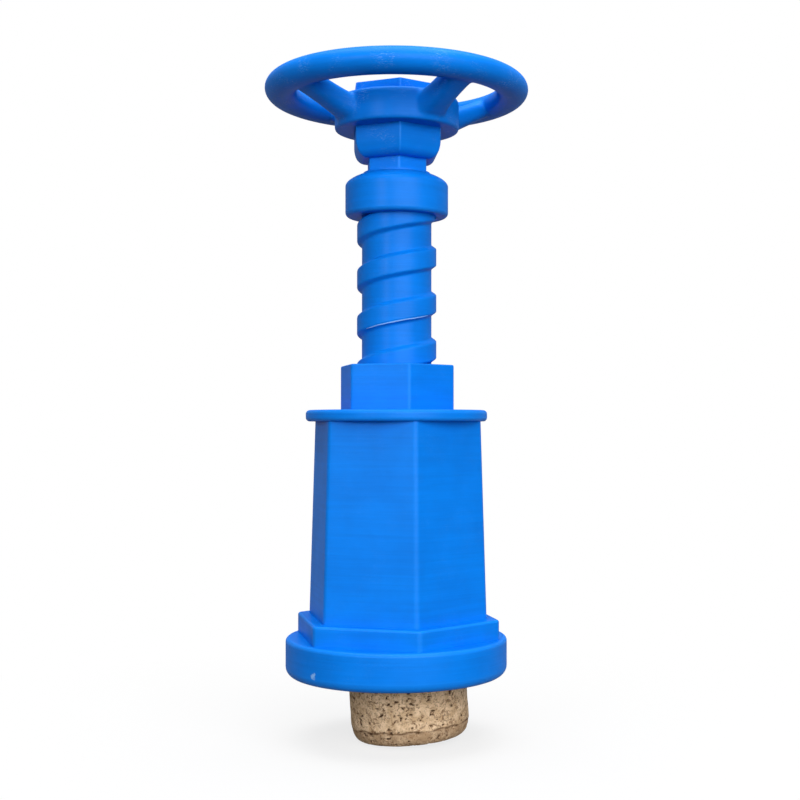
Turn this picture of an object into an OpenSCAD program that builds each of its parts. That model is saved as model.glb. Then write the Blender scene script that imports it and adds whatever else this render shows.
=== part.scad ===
// Screw corkscrew in the shape of a gate valve: a handwheel turns a coarse spindle in the bonnet
// nut of a hexagonal housing, and the worm on the spindle's lower end lifts the cork into it.
// Millimetres, +Z up along the spindle, origin under the lowest point of the cork.
// The pose is the raised one: the spindle is at its upper stop with a drawn cork on the worm.

/* [Handwheel] */
// Radius of the rim's centre circle
rim_r = 24.3; // [22:0.1:30]
// Radius of the rim's round section
rim_tube_r = 2.6; // [2:0.1:3.2]
// Height of the rim's centre above the hub's underside
rim_rise = 8.7; // [6:0.1:10]
// Radius of the hub
hub_r = 12.5; // [11:0.1:14]
// Height of the hub
hub_h = 6.1; // [5.4:0.1:7]
// Rounding of the hub's edges
hub_round = 1.2; // [0.3:0.1:1.4]
// Number of spokes
spoke_count = 4; // [3:1:6]
// Width of a spoke at its waist
spoke_w = 4.6; // [3.5:0.1:7]
// Width of a spoke where it runs into the hub and the rim
spoke_flare_w = 8.2; // [7.2:0.1:10]
// Thickness of a spoke at the hub
spoke_hub_t = 4.8; // [3:0.1:5]
// Thickness of a spoke at the rim
spoke_rim_t = 3.2; // [1.8:0.1:3.4]
// Turn of the first spoke from the front, towards the right
spoke_turn = 35.5; // [0:0.5:90]

/* [Wheel nuts] */
// Width across the flats of the nuts above and below the hub
wheel_nut_af = 17.1; // [15:0.1:20]
// Height of the nut on top of the hub
wheel_nut_h = 2.8; // [2.4:0.1:6]
// Height of the lock nut under the hub
lock_nut_h = 5.7; // [5:0.1:10]
// Height of the bevel on the lock nut's lower edge
lock_bevel_h = 2.6; // [1:0.1:4]
// Depth of the bevel on the lock nut's lower edge
lock_bevel_w = 1.2; // [0.4:0.1:2]
// Turn of the nuts' corner from the front, towards the right
wheel_hex_turn = 4; // [0:1:60]

/* [Stop collar] */
// Radius of the collar
collar_r = 10.5; // [9.5:0.1:13]
// Height of the collar
collar_h = 9; // [7:0.1:13]
// Width of the collar's top chamfer
collar_chamfer_w = 3.1; // [1:0.1:3.3]
// Height of the collar's top chamfer
collar_chamfer_h = 1.7; // [1:0.1:3.5]
// Rounding of the collar's lower edge
collar_round = 1; // [0.5:0.1:2.5]

/* [Spindle] */
// Radius of the thread's root
thread_core_r = 7.1; // [6.9:0.05:7.4]
// Height of the thread's ridge above its root
thread_ridge_h = 1.05; // [0.7:0.05:1.2]
// Pitch of the thread, one start, right hand
thread_pitch = 9.45; // [8:0.05:11]
// Width of the ridge's crest along the spindle
thread_crest_w = 3.2; // [2:0.1:3.6]
// Width of each sloping side of the ridge along the spindle
thread_flank_w = 1; // [0.6:0.1:1.4]
// Height at which the ridge's crest passes the right-hand side
thread_phase_z = 97.9; // [90:0.05:100]
// Radius of the journal that carries the collar
journal_r = 6.85; // [6.75:0.01:6.88]
// Width across the flats of the neck between the collar and the lock nut
neck_af = 11.6; // [10.5:0.1:11.8]
// Visible height of the neck
neck_h = 2.5; // [0.6:0.1:4]
// Width across the flats of the tang that drives the wheel
tang_af = 8.4; // [7:0.1:10]
// Radius of the stud under the wheel nut
stud_r = 3; // [2.4:0.1:3.6]
// Height of the stud inside the wheel nut
stud_h = 1.8; // [1.2:0.1:2]
// Radius of the plain end below the thread
land_r = 6.6; // [6.2:0.1:6.8]
// Length of the plain end below the thread
land_h = 5.4; // [5:0.1:8]

/* [Retaining ring] */
// Thickness of the ring
ring_t = 1.2; // [0.8:0.1:1.5]
// Outer radius of the ring
ring_r = 9.4; // [8.8:0.1:11]
// Depth of the ring's groove in the spindle
ring_groove = 1; // [0.6:0.1:1.4]
// Width of the ring's gap
ring_gap_w = 7; // [5:0.1:9]

/* [Worm] */
// Radius of the worm's wire
wire_r = 1.4; // [1.1:0.05:1.6]
// Radius of the worm's coil at the middle of the wire
coil_r = 3; // [2.6:0.1:3.6]
// Pitch of the worm, right hand
worm_pitch = 9.45; // [8:0.05:11]
// Length of the worm below the spindle
worm_len = 44.5; // [40:0.5:48]
// Radius of the straight shank in the spindle
shank_r = 2; // [1.8:0.1:2.4]
// Length of the shank inside the spindle
shank_len = 13; // [9:0.5:16]
// Radius of the pin across the shank
pin_r = 0.8; // [0.6:0.05:0.9]

/* [Bonnet] */
// Width across the flats of the bonnet nut
bonnet_af = 21.1; // [20.4:0.1:24]
// Height of the bonnet nut above the flange
bonnet_h = 9.1; // [6:0.1:12]
// Radius of the nut's spigot through the flange and the housing's top
spigot_r = 10; // [9.4:0.1:10.2]
// Radius of the flange
flange_r = 18.45; // [17.5:0.05:22]
// Thickness of the flange
flange_t = 2.3; // [1.6:0.1:4]
// Rounding of the flange's edge
flange_round = 0.7; // [0.3:0.05:0.75]

/* [Housing] */
// Width across the flats at the top of the housing
housing_top_af = 30.9; // [29.6:0.1:31.6]
// Width across the flats at the bottom of the housing
housing_foot_af = 33.5; // [31:0.1:36]
// Height of the housing
housing_h = 39.5; // [36:0.1:46]
// Thickness of the housing's top
housing_top_t = 3.1; // [2.5:0.1:4]
// Radius of the chamber that takes the cork
chamber_r = 13.6; // [13.4:0.05:13.8]
// Turn of the housing's corner from the front, towards the right
housing_hex_turn = 12; // [0:1:60]

/* [Base] */
// Width across the flats of the hexagonal foot
foot_af = 37.4; // [36:0.1:40]
// Height of the foot
foot_h = 4; // [3:0.1:8]
// Thickness of the ledge that rests on the bottle's lip
ledge_t = 1.5; // [1:0.1:2.5]
// Radius of the socket for the bottle's mouth
socket_r = 15.4; // [15:0.1:16]
// Radius of the round base ring
base_r = 22.4; // [21.5:0.1:26]
// Height of the base ring
base_h = 7.6; // [5:0.1:9]
// Rounding of the base ring's edges
base_round = 1.8; // [0.5:0.1:2.4]

/* [Cork] */
// Radius of the cork
cork_r = 12; // [11.6:0.1:12.2]
// Length of the cork
cork_len = 42; // [38:0.5:45]
// Lean of the cork on the worm, towards the right
cork_lean = 4.1; // [0:0.1:4.5]
// Depth of the bevel on the cork's ends
cork_bevel_w = 1.6; // [0.6:0.1:2.2]
// Height of the bevel on the cork's ends
cork_bevel_h = 2.9; // [0.8:0.1:4]
// How far the cork's lowest point hangs below the base
cork_drop = 13.2; // [10:0.1:18]

/* [Fits] */
// Travel of the spindle between the bonnet nut and the collar, with the gap left at the lower stop
lift = 30.3; // [26:0.1:34]
// Clearance between pieces that are assembled and then stay put
slip = 0.05; // [0.02:0.01:0.1]
// Clearance of the collar on its journal
journal_gap = 0.06; // [0.03:0.01:0.1]
// Clearance between the spindle's thread and the nut's thread
thread_gap = 0.35; // [0.3:0.05:0.45]
// Clearance between the worm and its channel in the cork
channel_gap = 0.4; // [0.3:0.05:0.6]
// Gap between the retaining ring and the top of the housing at the upper stop
stop_gap = 0.3; // [0.2:0.05:0.5]

/* [Hidden] */
$fn = 64;
plastic_blue = [0.02, 0.30, 0.68];
bright_steel = [0.72, 0.73, 0.75];
cork_tan = [0.80, 0.62, 0.42];

// Heights of the stacked pieces, from the base up
base_z = cork_drop;
foot_z = base_z + base_h;
housing_z = foot_z + foot_h;
flange_z = housing_z + housing_h;
bonnet_z = flange_z + flange_t;
bonnet_top_z = bonnet_z + bonnet_h;
collar_z = bonnet_top_z + lift;
neck_z = collar_z + collar_h;
lock_nut_z = neck_z + neck_h;
hub_z = lock_nut_z + lock_nut_h;
hub_top_z = hub_z + hub_h;
rim_z = hub_z + rim_rise;

// Heights inside the housing
ceiling_z = flange_z - housing_top_t;
thread_z = ceiling_z;
ring_z = ceiling_z - stop_gap - ring_t;
spindle_end_z = thread_z - land_h;
pin_z = (spindle_end_z + ring_z - slip) / 2;
worm_tip_z = spindle_end_z - worm_len;
ledge_z = housing_z - ledge_t;

// Turns of the hexagons, whose first corner is made at the right-hand side
wheel_hex_angle = wheel_hex_turn - 90;
housing_hex_angle = housing_hex_turn - 90;
spindle_hole_r = spigot_r + slip;

// Thread outline: facets round the spindle and slices along one pitch
thread_sides = 28;
thread_slices = 20;
// Worm: sides of the wire, rings along one turn, turns of its run-out and of its sharpened end
wire_sides = 8;
worm_rings = 16;
worm_runout = 0.5;
worm_point = 0.75;
worm_point_r = 0.15;
// Length that a cut runs past the face it opens
past = 1;

// Cork: the top is on the spindle's axis, so that its lowest point is at zero
cork_flat_r = cork_r - cork_bevel_w;
cork_top_z = cork_len * cos(cork_lean) + cork_flat_r * sin(cork_lean);
channel_r = coil_r + wire_r + channel_gap;

// Corner radius of a hexagon from its width across the flats
function corner_r(af) = af / sqrt(3);

// Height of the ridge at a distance along the spindle from its crest, as a share of the full height
function ridge_share(distance, crest_w) =
    let (down_flank = (abs(distance) - crest_w / 2) / thread_flank_w)
    down_flank <= 0 ? 1 : down_flank >= 1 ? 0 : (1 + cos(180 * down_flank)) / 2;

// Section across the thread, with the crest at angle zero
function thread_section(gap) = [
    for (i = [0 : thread_sides - 1])
        let (
            turn = i / thread_sides,
            distance = (turn > 0.5 ? turn - 1 : turn) * thread_pitch,
            share = ridge_share(distance, thread_crest_w + 2 * gap),
            radius = thread_core_r + gap + thread_ridge_h * share
        )
        [radius * cos(360 * turn), radius * sin(360 * turn)]
];

// Length of the worm measured in turns, and a point, a radius and a direction along it
worm_turns = (worm_len + past) / worm_pitch;
function worm_coil_r(turn) =
    turn >= worm_runout ? coil_r : coil_r * (1 - cos(180 * turn / worm_runout)) / 2;
function worm_wire_r(turn) =
    let (left = (worm_turns - turn) / worm_point)
    left >= 1 ? wire_r : worm_point_r + (wire_r - worm_point_r) * sin(90 * left);
function worm_at(turn) = [
    worm_coil_r(turn) * cos(-360 * turn),
    worm_coil_r(turn) * sin(-360 * turn),
    spindle_end_z + past - turn * worm_pitch
];
function unit(v) = v / norm(v);
function worm_ring(turn) =
    let (
        centre = worm_at(turn),
        step = 0.01,
        along = unit(worm_at(turn + step) - worm_at(turn - step)),
        across = unit(cross(along, [cos(-360 * turn), sin(-360 * turn), 0])),
        outward = cross(across, along)
    )
    [
        for (i = [0 : wire_sides - 1])
            let (angle = 360 * i / wire_sides)
            centre + worm_wire_r(turn) * (cos(angle) * outward + sin(angle) * across)
    ];

// Hexagonal prism with a corner at the given angle
module hex_prism(af, height, angle) {
    rotate(angle)
        linear_extrude(height)
            circle(r = corner_r(af), $fn = 6);
}

// One pair of a hexagon's sides as a slab across the axis, from points of half width and height
module hex_slab(profile) {
    reach = 3 * profile[0][0];
    last = len(profile) - 1;
    other_side = [for (i = [0 : last]) [-profile[last - i][0], profile[last - i][1]]];
    translate([0, reach, 0])
        rotate([90, 0, 0])
            linear_extrude(2 * reach)
                polygon(concat(profile, other_side));
}

// Hexagon with sloping sides and a corner at the given angle
module hex_from_profile(profile, angle) {
    rotate(angle + 30)
        intersection() {
            hex_slab(profile);
            rotate(60) hex_slab(profile);
            rotate(120) hex_slab(profile);
        }
}

// Flat ring turned from a profile with rounded outer edges
module rounded_ring(inner, outer, height, rounding) {
    rotate_extrude() {
        translate([inner, 0])
            square([outer - rounding - inner, height]);
        translate([inner, rounding])
            square([outer - inner, height - 2 * rounding]);
        for (z = [rounding, height - rounding])
            translate([outer - rounding, z])
                circle(r = rounding);
    }
}

// Threaded rod between two heights, in step with the spindle's thread
module thread_rod(low, high, gap) {
    length = high - low;
    turns = length / thread_pitch;
    slices = ceil(thread_slices * turns);
    translate([0, 0, low])
        rotate(360 * (low - thread_phase_z) / thread_pitch)
            linear_extrude(length, twist = -360 * turns, slices = slices, $fn = thread_sides)
                polygon(thread_section(gap));
}

// One spoke along +X: waisted in plan, thinner towards the rim
module spoke() {
    inner = hub_r - hub_h / 4;
    waist_x = (hub_r + rim_r - rim_tube_r) / 2;
    half_len = (rim_r - rim_tube_r - hub_r) / 2;
    flare = (spoke_flare_w - spoke_w) / 2;
    waist_r = (half_len * half_len + flare * flare) / (2 * flare);
    hub_mid = hub_z + hub_h * 0.55;
    rim_mid = rim_z - rim_tube_r * 0.3;
    intersection() {
        translate([0, 0, hub_z])
            linear_extrude(rim_rise + rim_tube_r)
                difference() {
                    translate([inner, -spoke_flare_w / 2])
                        square([rim_r - inner, spoke_flare_w]);
                    for (side = [-1, 1])
                        translate([waist_x, side * (spoke_w / 2 + waist_r)])
                            circle(r = waist_r);
                }
        translate([0, spoke_flare_w, 0])
            rotate([90, 0, 0])
                linear_extrude(2 * spoke_flare_w)
                    polygon([
                        [inner, hub_mid - spoke_hub_t / 2],
                        [rim_r, rim_mid - spoke_rim_t / 2],
                        [rim_r, rim_mid + spoke_rim_t / 2],
                        [inner, hub_mid + spoke_hub_t / 2]
                    ]);
    }
}

module handwheel() {
    color(plastic_blue)
        difference() {
            union() {
                translate([0, 0, rim_z])
                    rotate_extrude()
                        translate([rim_r, 0])
                            circle(r = rim_tube_r);
                translate([0, 0, hub_z])
                    rounded_ring(0, hub_r, hub_h, hub_round);
                for (i = [0 : spoke_count - 1])
                    rotate(spoke_turn - 90 + i * 360 / spoke_count)
                        spoke();
            }
            translate([0, 0, hub_z - past])
                hex_prism(tang_af + 2 * slip, hub_h + 2 * past, wheel_hex_angle);
        }
}

module wheel_nut() {
    color(plastic_blue)
        translate([0, 0, hub_top_z])
            difference() {
                hex_prism(wheel_nut_af, wheel_nut_h, wheel_hex_angle);
                translate([0, 0, -past])
                    cylinder(r = stud_r + slip, h = stud_h + slip + past);
            }
}

module lock_nut() {
    half = wheel_nut_af / 2;
    color(plastic_blue)
        translate([0, 0, lock_nut_z])
            difference() {
                hex_from_profile(
                    [[half - lock_bevel_w, 0], [half, lock_bevel_h], [half, lock_nut_h]],
                    wheel_hex_angle
                );
                translate([0, 0, -past])
                    hex_prism(tang_af + 2 * slip, lock_nut_h + 2 * past, wheel_hex_angle);
            }
}

module stop_collar() {
    bore_r = journal_r + journal_gap;
    color(plastic_blue)
        translate([0, 0, collar_z])
            rotate_extrude() {
                polygon([
                    [bore_r, 0],
                    [collar_r - collar_round, 0],
                    [collar_r - collar_round, collar_round],
                    [collar_r, collar_round],
                    [collar_r, collar_h - collar_chamfer_h],
                    [collar_r - collar_chamfer_w, collar_h],
                    [bore_r, collar_h]
                ]);
                translate([collar_r - collar_round, collar_round])
                    circle(r = collar_round);
            }
}

module spindle() {
    tang_h = lock_nut_h + hub_h;
    color(plastic_blue)
        difference() {
            union() {
                thread_rod(thread_z, collar_z, 0);
                translate([0, 0, spindle_end_z])
                    cylinder(r = land_r, h = land_h + past);
                translate([0, 0, collar_z - past])
                    cylinder(r = journal_r, h = collar_h + past);
                translate([0, 0, neck_z - past])
                    hex_prism(neck_af, neck_h + past, wheel_hex_angle);
                translate([0, 0, lock_nut_z - past])
                    hex_prism(tang_af, tang_h + past, wheel_hex_angle);
                translate([0, 0, hub_top_z - past])
                    cylinder(r = stud_r, h = stud_h + past);
            }
            translate([0, 0, ring_z - slip])
                difference() {
                    cylinder(r = land_r + past, h = ring_t + 2 * slip);
                    translate([0, 0, -past])
                        cylinder(r = land_r - ring_groove, h = ring_t + 2 * past);
                }
            translate([0, 0, spindle_end_z - past])
                cylinder(r = shank_r + slip, h = shank_len + slip + past);
            translate([0, 0, pin_z])
                rotate([90, 0, 0])
                    cylinder(r = pin_r + slip, h = 2 * (land_r + past), center = true);
        }
}

module retaining_ring() {
    color(bright_steel)
        translate([0, 0, ring_z])
            difference() {
                cylinder(r = ring_r, h = ring_t);
                translate([0, 0, -past])
                    cylinder(r = land_r - ring_groove + slip, h = ring_t + 2 * past);
                translate([-ring_gap_w / 2, -ring_r - past, -past])
                    cube([ring_gap_w, ring_r + past, ring_t + 2 * past]);
            }
}

module worm() {
    ring_count = ceil(worm_turns * worm_rings) + 1;
    rings = [for (k = [0 : ring_count - 1]) worm_ring(worm_turns * k / (ring_count - 1))];
    points = [for (ring = rings) each ring];
    last = (ring_count - 1) * wire_sides;
    sides = [
        for (k = [0 : ring_count - 2], i = [0 : wire_sides - 1])
            let (
                a = k * wire_sides + i,
                b = k * wire_sides + (i + 1) % wire_sides
            )
            each [[a, b + wire_sides, b], [a, a + wire_sides, b + wire_sides]]
    ];
    ends = [
        [for (i = [0 : wire_sides - 1]) i],
        [for (i = [wire_sides - 1 : -1 : 0]) last + i]
    ];
    color(bright_steel) {
        polyhedron(points, concat(sides, ends), convexity = 10);
        difference() {
            translate([0, 0, spindle_end_z])
                cylinder(r = shank_r, h = shank_len);
            translate([0, 0, pin_z])
                rotate([90, 0, 0])
                    cylinder(r = pin_r + slip, h = 2 * land_r, center = true);
        }
    }
}

module worm_pin() {
    color(bright_steel)
        translate([0, 0, pin_z])
            rotate([90, 0, 0])
                cylinder(r = pin_r, h = 2 * (land_r - slip), center = true);
}

module bonnet_nut() {
    color(plastic_blue)
        difference() {
            union() {
                translate([0, 0, bonnet_z])
                    hex_prism(bonnet_af, bonnet_h, housing_hex_angle);
                translate([0, 0, ceiling_z])
                    cylinder(r = spigot_r, h = bonnet_z - ceiling_z + past);
            }
            thread_rod(ceiling_z - past, bonnet_top_z + past, thread_gap);
        }
}

module top_flange() {
    color(plastic_blue)
        translate([0, 0, flange_z])
            rounded_ring(spindle_hole_r, flange_r, flange_t, flange_round);
}

module housing() {
    color(plastic_blue)
        translate([0, 0, housing_z])
            difference() {
                hex_from_profile(
                    [[housing_foot_af / 2, 0], [housing_top_af / 2, housing_h]],
                    housing_hex_angle
                );
                translate([0, 0, -past])
                    cylinder(r = chamber_r, h = housing_h - housing_top_t + past);
                cylinder(r = spindle_hole_r, h = housing_h + past);
            }
}

module foot() {
    color(plastic_blue)
        translate([0, 0, foot_z])
            difference() {
                hex_prism(foot_af, foot_h, housing_hex_angle);
                translate([0, 0, -past])
                    cylinder(r = socket_r, h = foot_h - ledge_t + past);
                cylinder(r = chamber_r, h = foot_h + past);
            }
}

module base_ring() {
    color(plastic_blue)
        translate([0, 0, base_z])
            rounded_ring(socket_r, base_r, base_h, base_round);
}

module cork() {
    color(cork_tan)
        difference() {
            translate([0, 0, cork_top_z])
                rotate([0, -cork_lean, 0])
                    rotate_extrude()
                        polygon([
                            [0, 0],
                            [cork_flat_r, 0],
                            [cork_r, -cork_bevel_h],
                            [cork_r, cork_bevel_h - cork_len],
                            [cork_flat_r, -cork_len],
                            [0, -cork_len]
                        ]);
            translate([0, 0, worm_tip_z - past])
                cylinder(r = channel_r, h = cork_top_z + 2 * past - worm_tip_z);
        }
}

handwheel();
wheel_nut();
lock_nut();
stop_collar();
spindle();
retaining_ring();
worm();
worm_pin();
bonnet_nut();
top_flange();
housing();
foot();
base_ring();
cork();
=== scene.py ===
"""Looks of a screw corkscrew in the shape of a gate valve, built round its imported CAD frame.

Settings are in metres. Shapes are modelled in millimetres and brought to metres when a piece is placed.
"""

import math
from types import SimpleNamespace

import bmesh
import bpy
from bpy.props import FloatProperty, FloatVectorProperty, IntProperty, PointerProperty
from mathutils import Matrix, Vector, noise


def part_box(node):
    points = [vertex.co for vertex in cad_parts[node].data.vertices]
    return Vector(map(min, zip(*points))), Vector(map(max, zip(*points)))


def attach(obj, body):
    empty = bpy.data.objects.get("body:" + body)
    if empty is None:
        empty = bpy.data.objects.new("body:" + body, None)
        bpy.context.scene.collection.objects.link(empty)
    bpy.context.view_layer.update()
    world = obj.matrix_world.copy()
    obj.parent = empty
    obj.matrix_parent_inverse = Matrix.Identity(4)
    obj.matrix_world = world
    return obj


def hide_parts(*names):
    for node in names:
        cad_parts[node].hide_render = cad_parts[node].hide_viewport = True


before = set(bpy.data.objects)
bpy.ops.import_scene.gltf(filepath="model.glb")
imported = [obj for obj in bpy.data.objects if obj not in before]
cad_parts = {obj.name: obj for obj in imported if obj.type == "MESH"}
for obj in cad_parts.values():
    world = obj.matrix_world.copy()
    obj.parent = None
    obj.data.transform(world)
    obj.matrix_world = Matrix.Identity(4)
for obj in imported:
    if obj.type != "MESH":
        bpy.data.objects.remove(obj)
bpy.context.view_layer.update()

bl_info = {
    "name": "Valve corkscrew",
    "version": (1, 0, 0),
    "blender": (4, 5, 0),
    "location": "3D View > Sidebar > Valve corkscrew",
    "description": "Builds the pieces, finishes and stage of a valve-shaped corkscrew",
    "category": "Object",
}

MM = 1000.0
FULL_TURN = 2 * math.pi
SIXTH = FULL_TURN / 6
AXIS = Vector((0, 0, 1))
CENTRE = Vector((0, 0, 0))
# Two points closer than this, in millimetres, are the same point
NEAR = 1e-3
# Steps of a full turn of usual pieces, of the wide plates, and of nuts and the cork
LATHE_STEPS = 96
PLATE_STEPS = 144
FINE_STEPS = 288
# Edges that meet at more than this angle are rounded over
SHARP = math.radians(22)
# Edges that meet at more than this angle stay crisp in the shading
CRISP = math.radians(40)
# Finish of each material slot
FINISHES = {"blue_plastic": "Printed blue plastic", "cork": "Natural cork", "steel": "Bright steel"}
# Middle of the pale nick at the base's lower left, in metres
NICK = (-0.0160, -0.0158, 0.0155)
# Places in the noise that bend the cork's pits along each axis
PIT_SHIFTS = (Vector((0.0, 0.0, 0.0)), Vector((5.3, 1.9, 8.7)), Vector((2.6, 7.4, 3.8)))


def low(node):
    """Lowest height of a CAD node, in millimetres."""
    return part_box(node)[0].z * MM


def high(node):
    """Highest height of a CAD node, in millimetres."""
    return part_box(node)[1].z * MM


def reach(node):
    """How far a CAD node reaches from the axis to the right, in millimetres."""
    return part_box(node)[1].x * MM


def sizes_of(context, part):
    """The values of one settings group, with its lengths in millimetres."""
    group = getattr(context.scene.valve_corkscrew, part)
    values = {}
    for key in type(group).__annotations__:
        value = getattr(group, key)
        values[key] = value * MM if group.bl_rna.properties[key].unit == "LENGTH" else value
    return SimpleNamespace(**values)


def length(name, default, description):
    """A size in metres that a user may change."""
    return FloatProperty(name=name, description=description, default=default, unit="LENGTH", precision=5)


def turn(name, default, description):
    """An angle, written in degrees and kept in radians."""
    return FloatProperty(name=name, description=description, default=math.radians(default), subtype="ANGLE")


def tint(name, default, description):
    """A linear colour."""
    return FloatVectorProperty(
        name=name, description=description, default=default, size=3, min=0, max=1, subtype="COLOR"
    )


# Sizes and colours


class WheelSizes(bpy.types.PropertyGroup):
    """Handwheel with its two nuts"""

    rim_half_height: length("Rim half height", 0.0026, "Half the height of the rim's oval section")
    rim_half_width: length("Rim half width", 0.00325, "Half the width of the rim's oval section")
    hub_radius: length("Hub radius", 0.0127, "Radius of the hub")
    hub_height: length("Hub height", 0.0065, "Height of the hub")
    hub_low_round: length("Hub lower rounding", 0.0004, "Rounding of the hub's lower edge")
    hub_top_round: length("Hub upper rounding", 0.0009, "Rounding of the hub's upper edge")
    hub_bore: length("Hub bore", 0.0050, "Radius of the hole for the spindle's tang")
    hub_lift: length("Hub lift", 0.0004, "How far the finished hub sits above its CAD height")
    spoke_waist: length("Spoke waist", 0.0058, "Width of a spoke at its narrowest")
    spoke_hub_flare: length("Spoke at the hub", 0.0084, "Width of a spoke where it meets the hub")
    spoke_rim_flare: length("Spoke at the rim", 0.0075, "Width of a spoke where it meets the rim")
    spoke_level: length("Spoke level", 0.0026, "Height of the spokes' middle over the hub's lower face")
    spoke_hub_depth: length("Spoke depth at hub", 0.0055, "Thickness of a spoke at the hub")
    spoke_rim_depth: length("Spoke depth at rim", 0.0039, "Thickness of a spoke at the rim")
    spoke_rim_rise: length("Spoke rise", 0.0002, "Height of a spoke's outer end over the rim's middle")
    spoke_count: IntProperty(name="Spokes", description="Number of spokes", default=4, min=3, max=8)
    spoke_turn: turn("Spoke turn", -55.9, "Direction of the first spoke, from the right-hand side")
    nut_flats: length("Nut flats", 0.0171, "Width of the nuts across their flats")
    nut_corner: turn("Nut corner", -86, "Direction of the nuts' first corner")
    nut_rise: length("Nut rise", 0.00025, "How far the low nut stands above its CAD height")
    nut_bevel_height: length("Bevel height", 0.0036, "Height over which the lock nut narrows to its bottom")
    nut_bevel_depth: length("Bevel depth", 0.0010, "Depth of that bevel at the bottom")
    nut_low_round: length("Lower rounding", 0.0009, "Rounding of the lock nut's lower edge")
    nut_round: length("Nut rounding", 0.0003, "Rounding of the nuts' edges")
    nut_top_round: length("Nut top rounding", 0.0002, "Rounding of the low nut's top edge")
    collar_top_width: length("Collar shoulder width", 0.0034, "Width of the collar's curved shoulder")
    collar_top_height: length("Collar shoulder height", 0.00245, "Height of the collar's curved shoulder")
    collar_low_round: length("Collar rounding", 0.0009, "Rounding of the collar's lower edge")
    collar_set_down: length("Collar set down", 0.00035, "How far the collar's top stays under its CAD height")
    collar_bore: length("Collar bore", 0.00691, "Radius of the collar's hole")


class SpindleSizes(bpy.types.PropertyGroup):
    """Threaded spindle and the steel pieces on its lower end"""

    core: length("Thread root", 0.0071, "Radius of the thread's root")
    ridge: length("Thread ridge", 0.0010, "Height of the thread's ridge")
    pitch: length("Thread pitch", 0.00945, "Pitch of the thread")
    crest: length("Thread crest", 0.0032, "Width of the ridge's crest")
    flank: length("Thread flank", 0.0010, "Width of each side of the ridge")
    phase: length("Thread height", 0.0979, "Height at which the crest passes the right-hand side")
    nut_gap: length("Thread gap", 0.00035, "Clearance of the thread in the bonnet nut")
    thread_start: length("Thread start", 0.0612, "Height of the thread's lower end")
    journal: length("Journal", 0.00685, "Radius of the journal in the collar")
    neck_flats: length("Neck flats", 0.0116, "Width of the neck across its flats")
    neck_height: length("Neck height", 0.0025, "Height of the neck between collar and lock nut")
    neck_round: length("Neck rounding", 0.0003, "Rounding of the neck's and tang's edges")
    tang_flats: length("Tang flats", 0.0084, "Width of the tang across its flats")
    stud: length("Stud", 0.0030, "Radius of the stud under the wheel nut")
    land: length("Plain end", 0.0066, "Radius of the plain end below the thread")
    groove: length("Groove", 0.0010, "Depth of the groove for the retaining ring")
    ring_gap: length("Ring gap", 0.0070, "Width of the retaining ring's gap")
    ring_round: length("Ring rounding", 0.00015, "Rounding of the retaining ring's edges")
    pin_round: length("Pin rounding", 0.0002, "Rounding of the worm pin's ends")
    shank: length("Worm shank", 0.0020, "Radius of the worm's shank")
    wire: length("Worm wire", 0.0014, "Radius of the worm's wire")
    coil: length("Worm coil", 0.0030, "Radius of the worm's coil")
    slip: length("Slip", 0.00005, "Clearance between assembled pieces")


class HousingSizes(bpy.types.PropertyGroup):
    """Hexagonal housing with its nut, flange, foot and base"""

    corner: turn("Corner", -78, "Direction of the hexagons' first corner")
    bonnet_flats: length("Bonnet flats", 0.0211, "Width of the bonnet nut across its flats")
    bonnet_round: length("Bonnet rounding", 0.00045, "Rounding of the bonnet nut's upright edges")
    bonnet_top_round: length("Bonnet top rounding", 0.00035, "Rounding of the bonnet nut's top edge")
    spigot: length("Spigot", 0.0100, "Radius of the bonnet nut's spigot")
    flange_round: length("Flange rounding", 0.0008, "Rounding of the flange's edge")
    top_flats: length("Top flats", 0.0309, "Width of the housing across its flats at the top")
    low_flats: length("Low flats", 0.0330, "Width of the housing across its flats at the foot")
    ceiling: length("Top thickness", 0.0031, "Thickness of the housing's top")
    chamber: length("Chamber", 0.0136, "Radius of the chamber that takes the cork")
    edge_round: length("Edge rounding", 0.0007, "Rounding of the housing's upright edges")
    foot_flats: length("Foot flats", 0.0374, "Width of the foot across its flats")
    foot_round: length("Foot rounding", 0.0007, "Rounding of the foot's upright edges")
    foot_top_round: length("Foot top rounding", 0.0005, "Rounding of the foot's top edge")
    ledge: length("Ledge", 0.0015, "Thickness of the ledge on the bottle's lip")
    socket: length("Socket", 0.0154, "Radius of the socket for the bottle's mouth")
    base_low_round: length("Base lower rounding", 0.0019, "Rounding of the base ring's lower edge")
    base_top_round: length("Base upper rounding", 0.0008, "Rounding of the base ring's upper edge")


class CorkSizes(bpy.types.PropertyGroup):
    """Drawn cork"""

    radius: length("Radius", 0.0120, "Radius of the cork")
    body_length: length("Length", 0.0420, "Length of the cork")
    lean: turn("Lean", 4.1, "Lean of the cork on the worm")
    bevel_width: length("Bevel depth", 0.0016, "Depth of the bevel on the cork's ends")
    bevel_height: length("Bevel height", 0.0029, "Height of the bevel on the cork's ends")
    channel: length("Channel", 0.0048, "Radius of the channel that the worm cuts")
    pit_depth: length("Pit depth", 0.00050, "Depth of the deepest pits")


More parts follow.
